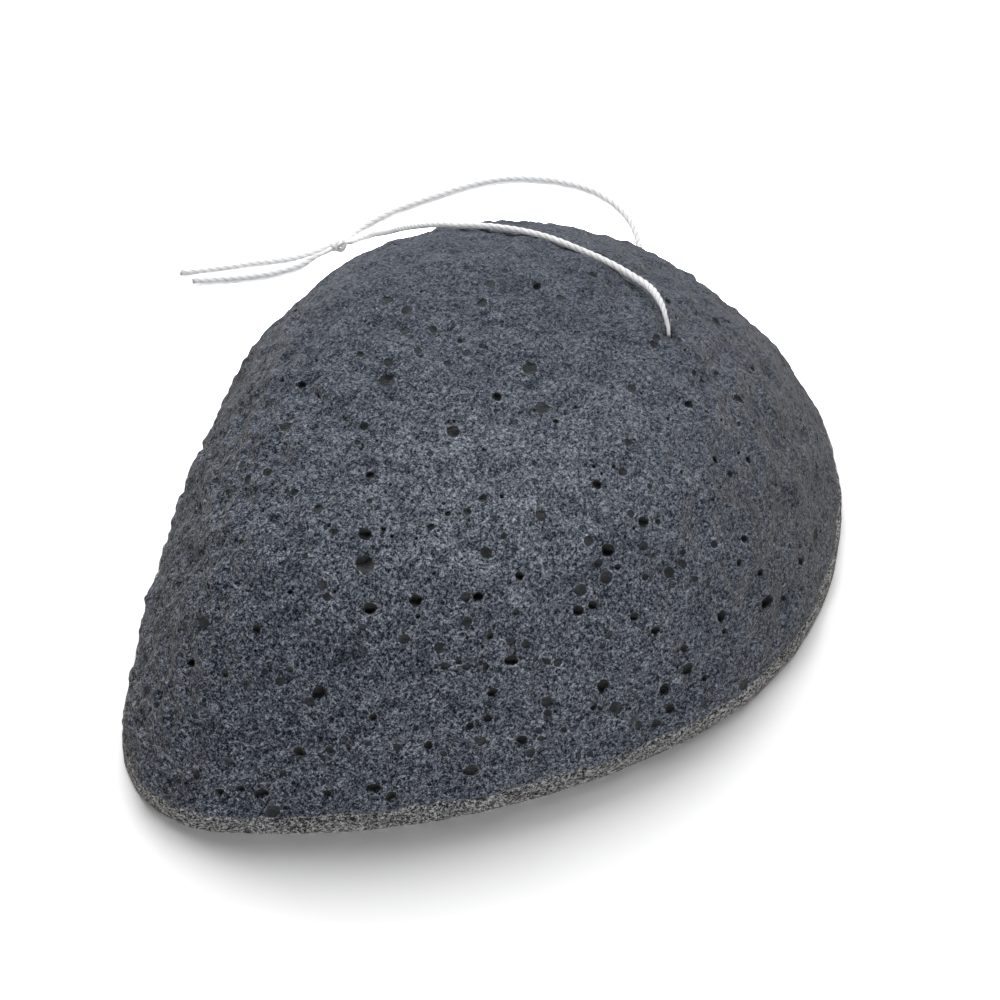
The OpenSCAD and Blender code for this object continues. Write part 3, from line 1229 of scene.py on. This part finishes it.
    def build_mesh(self) -> bpy.types.Mesh:
        """Makes the sponge's mesh with its lumps, pores, hole, the string's dent and its painted
        shadow.

        Returns:
            The mesh, with the values that the finish reads.
        """
        cells = self.remeshed()
        smooth = self.round_off(read_points(cells))
        cells.vertices.foreach_set("co", smooth.ravel())
        bm = bmesh.new()
        bm.from_mesh(cells)
        bpy.data.meshes.remove(cells)
        bm.normal_update()
        surface = BVHTree.FromBMesh(bm)
        bm.verts.index_update()
        relief = self.relief(bm)
        pores = self.seen_pores(relief)
        dents = list(self.placed(relief, DENTS))
        log.info("sponge: %d of the photographed pores placed", len(pores))
        seen = list(pores)
        pores += list(self.scattered_pores(surface, pores))
        self.refine(bm, pores, self.voxel)
        self.refine(bm, seen, self.voxel / 2)
        bm.normal_update()
        points = np.array([v.co for v in bm.verts])
        normals = np.array([v.normal for v in bm.verts])
        log.info("sponge: %d pores, %d vertices", len(pores), len(points))

        height = self.lumps(points)
        edge, gloom, sunk = self.sink_pores(points, pores)
        height -= sunk
        for dent in dents:
            height -= self.dent_depth(points, dent)
        flat_base = points[:, 2] < 0.05 * MM
        height[flat_base] = np.minimum(height[flat_base], 0.0)
        moved = points + normals * height[:, None]
        moved = self.press_string(moved, normals)
        moved[:, 2] = np.maximum(moved[:, 2], 0.0)
        for v, place in zip(bm.verts, moved):
            v.co = place
        # Painted shadow of the string on the foam beside its right side.
        mark = self.painted_string_shadow(moved, BVHTree.FromBMesh(bm))
        for face in bm.faces:
            face.smooth = True
        mesh = finished_mesh(bm, "sponge_foam")
        write_values(mesh, "pore_edge", edge / MM)
        write_values(mesh, "pore_gloom", gloom)
        write_values(mesh, "painted_string_shadow", mark)
        return mesh

    @staticmethod
    def dent_depth(points: np.ndarray, dent: Pore) -> np.ndarray:
        """How deep a soft dent presses each point.

        Args:
            points: The mesh's points.
            dent: The dent's place and size.

        Returns:
            The depth at each point.
        """
        off = points - np.array(dent.centre)
        along = off @ np.array(dent.long_axis) / dent.stretch
        across = off @ np.array(dent.normal.cross(dent.long_axis))
        return dent.depth * np.exp(-(along ** 2 + across ** 2) / dent.radius ** 2)

    def sink_pores(self, points: np.ndarray,
                   pores: Sequence[Pore]) -> tuple[np.ndarray, np.ndarray, np.ndarray]:
        """Works out how each pore shapes the points round it.

        Args:
            points: The mesh's points before the pores are sunk.
            pores: All pores.

        Returns:
            For each point, its distance from the nearest pore's rim, negative inside, how dark
            that pore is, and how deep the point sinks.
        """
        edge = np.full(len(points), self.pore_reach)
        gloom = np.zeros(len(points))
        sunk = np.zeros(len(points))
        places = tree_of(points)
        for pore in pores:
            short_axis = pore.normal.cross(pore.long_axis)
            reach = pore.radius * pore.stretch + self.pore_reach
            for place, index, _far in places.find_range(pore.centre, reach):
                off = place - pore.centre
                uneven = noise.noise(off.normalized() * 1.5 + pore.centre * 4000.0)
                across = math.hypot(off.dot(pore.long_axis) / pore.stretch, off.dot(short_axis))
                rim = pore.radius * (1.0 + self.ragged * uneven)
                if across - rim < edge[index]:
                    edge[index] = across - rim
                    gloom[index] = pore.gloom
                if across < rim:
                    bowl = pore.depth * math.sqrt(1.0 - (across / rim) ** 2) ** 0.8
                    sunk[index] = max(sunk[index], bowl)
        return edge, gloom, sunk

    def painted_string_shadow(self, points: np.ndarray, surface: BVHTree) -> np.ndarray:
        """The string's painted shadow on the foam along its right side, as the photograph shows it.

        Args:
            points: The mesh's points.
            surface: The surface the string lies on, lumps and pores included.

        Returns:
            The painted shadow's strength at each point, from 0 to 1.
        """
        places = tree_of(points)
        made = np.zeros(len(points))
        eye = Vector(self.camera.place)
        low, high = self.string.spans["string_front"]
        for index in range(low, high + 1, 2):
            centre = self.string.line[index]
            along = self.string.frames[index][0]
            side = Vector((-along.y, along.x, 0.0)).normalized()
            edge = self.string.radius * self.string.thickness(centre)
            behind, _normal, _face, far = surface.ray_cast(eye, (centre - eye).normalized())
            if behind is None or far > (centre - eye).length + self.painted_shadow_depth:
                continue
            for place, found, _far in places.find_range(behind, edge + 2 * self.painted_shadow_width):
                off = (place - behind).dot(side)
                fade_at = edge * self.painted_shadow_edge
                fade = 1.0 - smooth_step(fade_at, fade_at + self.painted_shadow_width, off)
                mark = smooth_step(self.painted_shadow_from[0] * edge, self.painted_shadow_from[1] * edge, off) * fade
                made[found] = max(made[found], mark)
        return made

    def press_string(self, points: np.ndarray, normals: np.ndarray) -> np.ndarray:
        """Presses the surface down wherever it would touch the string.

        Args:
            points: The mesh's points.
            normals: The direction out of the surface at each.

        Returns:
            The points, with the string's dent and the dimple round its hole.
        """
        made = points.copy()
        places = tree_of(points)
        clear = self.string.radius * self.clearance
        nearest: dict[int, float] = {}
        for centre in self.string.line[::2]:
            for _place, index, far in places.find_range(centre, clear):
                nearest[index] = min(far, nearest.get(index, clear))
        for index, far in nearest.items():
            made[index] -= normals[index] * (clear - far)
        mouth = np.array(self.string.mouth)
        from_mouth = np.linalg.norm(made - mouth, axis=1)
        made[:, 2] -= self.mouth_dimple * (1.0 - smooth_step(*self.dimple_fade, from_mouth))
        return made

    def build(self, finish: bpy.types.Material) -> bpy.types.Object:
        """Args:
            finish: The foam's material.

        Returns:
            The piece.
        """
        mesh = self.build_mesh()
        mesh.materials.append(finish)
        piece = add_object("sponge_foam", mesh)
        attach(piece, "root")
        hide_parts("sponge_body")
        return piece


Source = bpy.types.NodeSocket | float | tuple


class Wiring:
    """Adds nodes to one node tree and links them."""

    def __init__(self, tree: bpy.types.NodeTree) -> None:
        """Keeps the tree that the nodes go into."""
        self.tree = tree

    def node(self, kind: str, inputs: dict[str | int, Source] | None = None,
             **settings: object) -> bpy.types.Node:
        """Adds a node.

        Args:
            kind: The node's type.
            inputs: What goes into its sockets: another node's socket or a plain value.
            settings: Its properties.

        Returns:
            The node.
        """
        made = self.tree.nodes.new(kind)
        for name, value in settings.items():
            setattr(made, name, value)
        for key, value in (inputs or {}).items():
            if isinstance(value, bpy.types.NodeSocket):
                self.tree.links.new(value, made.inputs[key])
            else:
                made.inputs[key].default_value = value
        return made

    def value(self, name: str) -> bpy.types.NodeSocket:
        """Reads a value that the mesh's points carry."""
        return self.node("ShaderNodeAttribute", attribute_name=name).outputs["Fac"]

    def grey(self, value: Source) -> bpy.types.NodeSocket:
        """Turns a value into a grey colour."""
        return self.node("ShaderNodeCombineColor", {0: value, 1: value, 2: value}).outputs[0]

    def noise(self, place: Source, scale: Source, detail: float, roughness: float,
              distortion: float = 0.0) -> bpy.types.NodeSocket:
        """Adds a Noise Texture node and returns its value."""
        made = self.node("ShaderNodeTexNoise", {
            "Vector": place, "Scale": scale, "Detail": detail, "Roughness": roughness,
            "Distortion": distortion})
        return made.outputs["Fac"]

    def grain(self, group: bpy.types.NodeTree, place: Source, scale: float,
              contrast: float) -> bpy.types.NodeSocket:
        """Adds the shared grain and returns its value."""
        made = self.node("ShaderNodeGroup", {"Vector": place, "Scale": scale,
                                             "Contrast": contrast}, node_tree=group)
        return made.outputs["Grain"]

    def bump(self, height: Source, strength: float, distance: float) -> bpy.types.NodeSocket:
        """Adds a Bump node and returns its normal."""
        made = self.node("ShaderNodeBump", {"Strength": strength, "Distance": distance,
                                            "Height": height})
        return made.outputs["Normal"]

    def principled(self, colour: Source, roughness: float, specular: float,
                   **inputs: Source) -> bpy.types.NodeSocket:
        """Adds a Principled BSDF node; further inputs have _ for each space in their names."""
        given = {name.replace("_", " "): value for name, value in inputs.items()}
        made = self.node("ShaderNodeBsdfPrincipled", {
            "Base Color": colour, "Roughness": roughness, "Specular IOR Level": specular,
            **given})
        return made.outputs["BSDF"]

    def math(self, operation: str, first: Source, second: Source = 0.0,
             clamp: bool = False) -> bpy.types.NodeSocket:
        """Adds a Math node and returns its result."""
        made = self.node("ShaderNodeMath", {0: first, 1: second}, operation=operation,
                         use_clamp=clamp)
        return made.outputs[0]

    def spread(self, value: Source, low: float, high: float, to_low: float = 0.0,
               to_high: float = 1.0, soft: bool = False) -> bpy.types.NodeSocket:
        """Adds a clamped Map Range node and returns its result."""
        made = self.node("ShaderNodeMapRange", {"Value": value, "From Min": low, "From Max": high,
                                                "To Min": to_low, "To Max": to_high},
                         interpolation_type="SMOOTHSTEP" if soft else "LINEAR")
        return made.outputs["Result"]

    def blend(self, share: Source, first: Source, second: Source,
              mode: str = "MIX") -> bpy.types.NodeSocket:
        """Adds a colour Mix node and returns its result."""
        made = self.node("ShaderNodeMix", data_type="RGBA", blend_type=mode)
        for key, value in ((0, share), (6, first), (7, second)):
            if isinstance(value, bpy.types.NodeSocket):
                self.tree.links.new(value, made.inputs[key])
            elif key == 0:
                made.inputs[key].default_value = value
            else:
                made.inputs[key].default_value = (*value, 1.0)
        return made.outputs[2]

    def shade(self, colour: Source, factor: Source) -> bpy.types.NodeSocket:
        """Multiplies a colour by a factor."""
        return self.blend(1.0, colour, self.grey(factor), "MULTIPLY")


def new_finish(name: str) -> tuple[bpy.types.Material, Wiring]:
    """Makes an empty material.

    Args:
        name: The material's name.

    Returns:
        The material and the wiring of its nodes.
    """
    made = bpy.data.materials.new(name)
    made.use_nodes = True
    made.node_tree.nodes.clear()
    return made, Wiring(made.node_tree)


def grain_group() -> bpy.types.NodeTree:
    """The shared fine grain of fibres, as a node group.

    Returns:
        A group with inputs Vector, Scale and Contrast and an output Grain, from 0 to 1.
    """
    group = bpy.data.node_groups.new("fibre_grain", "ShaderNodeTree")
    sockets = group.interface
    for name, way, kind in (("Vector", "INPUT", "Vector"), ("Scale", "INPUT", "Float"),
                            ("Contrast", "INPUT", "Float"), ("Grain", "OUTPUT", "Float")):
        sockets.new_socket(name, in_out=way, socket_type=f"NodeSocket{kind}")
    wires = Wiring(group)
    given = wires.node("NodeGroupInput")
    place, scale = given.outputs["Vector"], given.outputs["Scale"]
    coarse = wires.noise(place, scale, 1.0, 0.6, distortion=0.6)
    sharp = wires.noise(place, wires.math("MULTIPLY", scale, 2.3), 1.0, 0.7, distortion=0.4)
    both = wires.math("ADD", coarse, sharp)
    centred = wires.math("SUBTRACT", both, 1.0)
    stretched = wires.math("MULTIPLY", centred, given.outputs["Contrast"])
    grain = wires.math("ADD", stretched, 0.5, clamp=True)
    wires.node("NodeGroupOutput", {"Grain": grain})
    return group


@dataclass(frozen=True)
class FoamFinish:
    """Charcoal konjac foam: blue-grey fibres with dark gaps, and a pale coarse side band.

    Attributes:
        foam: Mean brightness of the dome as the eye sees it, from 0 to 1.
        foam_tint: What its red, green and blue have more than that.
        band: Mean brightness of the side band.
        band_tint: What its red, green and blue have more than that.
        shallow_pore_shade: Colour of the painted shade inside a shallow pore.
        deep_pore_shade: Colour of the painted shade inside a deep one.
        painted_light_at: Middle of the painted pool of light on the dome.
        painted_light_reach: How far that painted light fades, into painted shade beyond it.
        band_top: Height at which the side band ends.
        tip_swing: How much the grain's brightness swings at the tip.
        end_swing: The same at the wide end, where the skin is smoother.
        swing_from: Where along X and a slant of Y the one swing turns into the other.
        band_swing: How much the grain's brightness swings on the side band.
        grain_scale: Grains in a metre, on the dome.
        grain_contrast: Contrast of that grain.
        band_scale: Grains in a metre, on the side band.
        band_contrast: Contrast of that grain.
        band_ragged: How far the band's upper edge wanders.
        painted_shade: Factor on the brightness in the painted shadow beside the string.
        painted_lip_highlight: Factor on the brightness of the painted highlight round a pore's rim.
    """

    foam: float = 0.339
    foam_tint: Colour = (-0.022, 0.0, 0.040)
    band: float = 0.432
    band_tint: Colour = (-0.002, 0.0, 0.008)
    shallow_pore_shade: Colour = (0.044, 0.050, 0.057)
    deep_pore_shade: Colour = (0.023, 0.025, 0.027)
    painted_light_at: Point = (-6.5 * MM, -19.0 * MM, 27.0 * MM)
    painted_light_reach: float = 46 * MM
    band_top: float = 3.3 * MM
    tip_swing: float = 0.93
    end_swing: float = 0.36
    swing_from: Span = (-50 * MM, 40 * MM)
    band_swing: float = 0.65
    grain_scale: float = 2250.0
    grain_contrast: float = 1.7
    band_scale: float = 2900.0
    band_contrast: float = 2.6
    band_ragged: float = 1.6 * MM
    painted_shade: float = 0.35
    painted_lip_highlight: float = 1.6

    def build(self, grain: bpy.types.NodeTree) -> bpy.types.Material:
        """Makes the material.

        Args:
            grain: The shared grain group.

        Returns:
            The foam's material.
        """
        made, wires = new_finish(Slot.FOAM.value)
        place = wires.node("ShaderNodeTexCoord").outputs["Object"]

        fine = wires.grain(grain, place, self.grain_scale, self.grain_contrast)
        shade = wires.spread(wires.noise(place, 300.0, 3.0, 0.72), 0.25, 0.75, 0.83, 1.15)
        parts = wires.node("ShaderNodeSeparateXYZ", {"Vector": place})
        across = wires.math("ADD", parts.outputs["X"],
                            wires.math("MULTIPLY", parts.outputs["Y"], 0.6))
        swing = wires.spread(across, *self.swing_from, self.tip_swing, self.end_swing)
        # Painted light and shade: the foam is paler round one point of the dome and darker far from
        # it.
        off_painted_light = wires.node("ShaderNodeVectorMath", {0: place, 1: self.painted_light_at},
                              operation="DISTANCE").outputs["Value"]
        shade = wires.math("MULTIPLY", shade,
                           wires.spread(off_painted_light, 0.0, self.painted_light_reach, 1.11, 0.93, soft=True))
        top_tone = wires.math("MULTIPLY", self.tone(wires, fine, swing), shade)

        squashed = wires.node("ShaderNodeMapping", {"Vector": place, "Scale": (0.72, 0.72, 1.0)})
        coarse = wires.grain(grain, squashed.outputs["Vector"], self.band_scale,
                             self.band_contrast)
        band_tone = self.tone(wires, coarse, self.band_swing)

        ragged = wires.math("SUBTRACT", wires.noise(place, 420.0, 3.0, 0.7), 0.5)
        height = wires.math("ADD", parts.outputs["Z"],
                            wires.math("MULTIPLY", ragged, self.band_ragged))
        on_top = wires.spread(height, self.band_top - 0.15 * MM, self.band_top + 0.35 * MM,
                              soft=True)
        colour = wires.blend(on_top, self.tinted(wires, band_tone, self.band, self.band_tint),
                             self.tinted(wires, top_tone, self.foam, self.foam_tint))
        # Painted shadow of the string: the foam beside its right side is darkened.
        mark = wires.spread(wires.value("painted_string_shadow"), 0.0, 1.0, 1.0, self.painted_shade)
        colour = wires.shade(colour, mark)

        edge = wires.value("pore_edge")
        gloom = wires.value("pore_gloom")
        # Painted highlight: the foam just round each pore is brightened, most round the paler pores.
        painted_lip_highlight = wires.math("MULTIPLY", wires.spread(edge, 0.2, 0.06, soft=True),
                         wires.spread(gloom, 0.15, 0.35, 0.9, 0.35))
        colour = wires.shade(colour, wires.spread(painted_lip_highlight, 0.0, 1.0, 1.0, self.painted_lip_highlight))
        # Painted shade inside the pores, darker in the deeper ones, on top of their real depth in the
        # mesh.
        inside = wires.spread(edge, 0.03, -0.06, soft=True)
        pore_shade = wires.blend(gloom, self.shallow_pore_shade, self.deep_pore_shade)
        pore_shade = wires.shade(pore_shade, wires.spread(fine, 0.0, 1.0, 0.7, 1.3))
        colour = wires.blend(inside, colour, pore_shade)

        relief = wires.blend(on_top, wires.grey(coarse), wires.grey(fine))
        surface = wires.principled(
            colour, 0.95, 0.15, Sheen_Weight=0.15, Sheen_Roughness=0.45,
            Sheen_Tint=(1.0, 0.85, 0.6, 1.0), Normal=wires.bump(relief, 0.75, 0.2 * MM))
        wires.node("ShaderNodeOutputMaterial", {"Surface": surface})
        return made

    @staticmethod
    def tone(wires: Wiring, value: bpy.types.NodeSocket, swing: Source) -> bpy.types.NodeSocket:
        """Turns the grain into a factor on the brightness, which swings evenly about 1."""
        centred = wires.math("SUBTRACT", wires.math("MULTIPLY", value, 2.0), 1.0)
        return wires.math("ADD", wires.math("MULTIPLY", centred, swing), 1.0)

    @staticmethod
    def tinted(wires: Wiring, tone: bpy.types.NodeSocket, mean: float,
               tint: Colour) -> bpy.types.NodeSocket:
        """Turns a factor on the brightness into a colour whose tint stays the same in light and dark.

        Args:
            wires: The material's wiring.
            tone: The factor.
            mean: Brightness where the factor is 1, as the eye sees it.
            tint: What red, green and blue have more than the brightness.

        Returns:
            The colour.
        """
        seen = wires.math("MULTIPLY", tone, mean)
        red, green, blue = (wires.math("ADD", seen, more, clamp=True) for more in tint)
        made = wires.node("ShaderNodeCombineColor", {0: red, 1: green, 2: blue})
        return wires.node("ShaderNodeGamma", {0: made.outputs[0], 1: 2.2}).outputs[0]


@dataclass(frozen=True)
class CottonFinish:
    """White twisted cotton with fine fibres along it.

    Attributes:
        pale: Colour of the fibres.
        shaded: Colour between them.
        painted_shade: Colour of the painted shade down between the plies.
        packed: Colour where the string is pulled tight.
    """

    pale: Colour = (0.95, 0.95, 0.945)
    shaded: Colour = (0.90, 0.90, 0.905)
    painted_shade: Colour = (0.60, 0.62, 0.66)
    packed: Colour = (0.97, 0.97, 0.97)

    def build(self, grain: bpy.types.NodeTree) -> bpy.types.Material:
        """Makes the material.

        Args:
            grain: The shared grain group.

        Returns:
            The cotton's material.
        """
        made, wires = new_finish(Slot.COTTON.value)
        lay = wires.node("ShaderNodeAttribute", attribute_name="lay").outputs["Vector"]
        drawn = wires.node("ShaderNodeMapping", {"Vector": lay, "Scale": (1.0, 1.0, 0.22)})
        fibres = wires.grain(grain, drawn.outputs["Vector"], 5.0, 2.0)
        colour = wires.blend(fibres, self.shaded, self.pale)
        # Painted shade down between the plies, where the valley value is high.
        colour = wires.blend(wires.value("valley"), colour, self.painted_shade)
        loose = wires.principled(
            colour, 0.85, 0.3, Subsurface_Weight=1.0, Subsurface_Radius=(1.0, 1.0, 1.0),
            Subsurface_Scale=2.2 * MM, Sheen_Weight=0.3, Sheen_Roughness=0.4,
            Normal=wires.bump(fibres, 0.5, 0.03 * MM))
        packed = wires.principled((*self.packed, 1.0), 0.85, 0.3, Sheen_Weight=0.5,
                                  Sheen_Roughness=0.6)
        surface = wires.node("ShaderNodeMixShader", {0: wires.value("tight"), 1: loose, 2: packed})
        wires.node("ShaderNodeOutputMaterial", {"Surface": surface.outputs["Shader"]})
        return made


@dataclass(frozen=True)
class Lamp:
    """One soft light, aimed at the middle of the base.

    Attributes:
        name: The light's name.
        place: Where it hangs.
        wide: Its width.
        high: Its height.
        power: Its strength in watts.
    """

    name: str
    place: Vector
    wide: float
    high: float
    power: float

    def build(self) -> bpy.types.Object:
        """Makes the light.

        Returns:
            The light object.
        """
        data = bpy.data.lights.new(self.name, "AREA")
        data.shape = "RECTANGLE"
        data.size = self.wide
        data.size_y = self.high
        data.energy = self.power
        lamp = bpy.data.objects.new(self.name, data)
        lamp.location = self.place
        lamp.rotation_euler = self.place.to_track_quat("Z", "Y").to_euler()
        bpy.context.scene.collection.objects.link(lamp)
        return lamp


@dataclass
class Studio:
    """Pale floor, soft lights and a white surrounding.

    Attributes:
        floor_size: Width of the floor.
        lamps: The lights.
        fill: Strength of the light from all round.
        floor_shade: Colour of the floor as the object sees it.
        floor_white: Colour of the floor in front, as the camera sees it.
        painted_floor_light: Its colour behind the sponge and far from it: painted light that hides
            shadows.
        back_from: Where along X plus Y the floor turns whiter, behind the sponge.
        far_from: Distances from the middle between which it turns whiter all round.
    """

    floor_size: float = 6.0
    fill: float = 0.075
    floor_shade: float = 0.8
    floor_white: float = 1.25
    painted_floor_light: float = 5.0
    back_from: Span = (30 * MM, 60 * MM)
    far_from: Span = (120 * MM, 300 * MM)
    lamps: tuple[Lamp, ...] = (
        Lamp("window_light", Vector((0.154, 0.423, 0.536)), 0.45, 0.45, 4.2),
        Lamp("side_light", Vector((0.423, 0.154, 0.536)), 0.45, 0.45, 3.2),
        Lamp("low_fill", Vector((-0.398, -0.568, 0.097)), 0.5, 0.16, 2.9),
    )

    def build_floor(self) -> None:
        """Makes the floor just under the object."""
        bm = bmesh.new()
        bmesh.ops.create_grid(bm, x_segments=1, y_segments=1, size=self.floor_size / 2)
        bmesh.ops.translate(bm, verts=bm.verts, vec=(0.0, 0.0, -0.02 * MM))
        mesh = finished_mesh(bm, "floor")
        mesh.materials.append(self.floor_finish())
        add_object("floor", mesh)

    def floor_finish(self) -> bpy.types.Material:
        """The floor's material: plain and pale, white to the camera where lit, painted lighter behind
        and far off.
        """
        made, wires = new_finish("pale_floor")
        seen = wires.node("ShaderNodeLightPath").outputs["Is Camera Ray"]
        place = wires.node("ShaderNodeTexCoord").outputs["Object"]
        split = wires.node("ShaderNodeSeparateXYZ", {"Vector": place})
        depth = wires.math("ADD", split.outputs["X"], split.outputs["Y"])
        far = wires.node("ShaderNodeVectorMath", {0: place}, operation="LENGTH").outputs["Value"]
        # Painted light: behind the sponge and far from it the floor is much brighter to the camera,
        # which hides shadows there.
        behind, round_about = (
            wires.spread(way, *reach, self.floor_white, self.painted_floor_light, soft=True)
            for way, reach in ((depth, self.back_from), (far, self.far_from)))
        white = wires.math("MAXIMUM", behind, round_about)
        colour = wires.blend(seen, (self.floor_shade,) * 3, wires.grey(white))
        surface = wires.node("ShaderNodeBsdfDiffuse", {"Color": colour})
        wires.node("ShaderNodeOutputMaterial", {"Surface": surface.outputs["BSDF"]})
        return made

    def build_world(self) -> None:
        """Lights the scene evenly from all round, and shows white to the camera."""
        world = bpy.data.worlds.new("studio")
        bpy.context.scene.world = world
        world.use_nodes = True
        world.node_tree.nodes.clear()
        wires = Wiring(world.node_tree)
        seen = wires.node("ShaderNodeLightPath").outputs["Is Camera Ray"]
        strength = wires.spread(seen, 0.0, 1.0, self.fill, 1.0)
        background = wires.node("ShaderNodeBackground", {"Color": (1.0, 1.0, 1.0, 1.0),
                                                         "Strength": strength})
        wires.node("ShaderNodeOutputWorld", {"Surface": background.outputs["Background"]})

    def build(self) -> None:
        """Makes the whole studio."""
        self.build_floor()
        self.build_world()
        for lamp in self.lamps:
            lamp.build()


def main() -> None:
    """Builds the camera, the string, the sponge and the studio, in that order."""
    logging.basicConfig(level=logging.INFO, format="%(message)s")
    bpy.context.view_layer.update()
    camera = PhotoCamera()
    camera.build()
    grain = grain_group()
    string = TwistedString()
    string.lay_out()
    string.build(CottonFinish().build(grain))
    sponge = Sponge(camera, string)
    sponge.build(FoamFinish().build(grain))
    Studio().build()
    bpy.context.scene.view_settings.view_transform = "Standard"


if __name__ == "__main__":
    main()
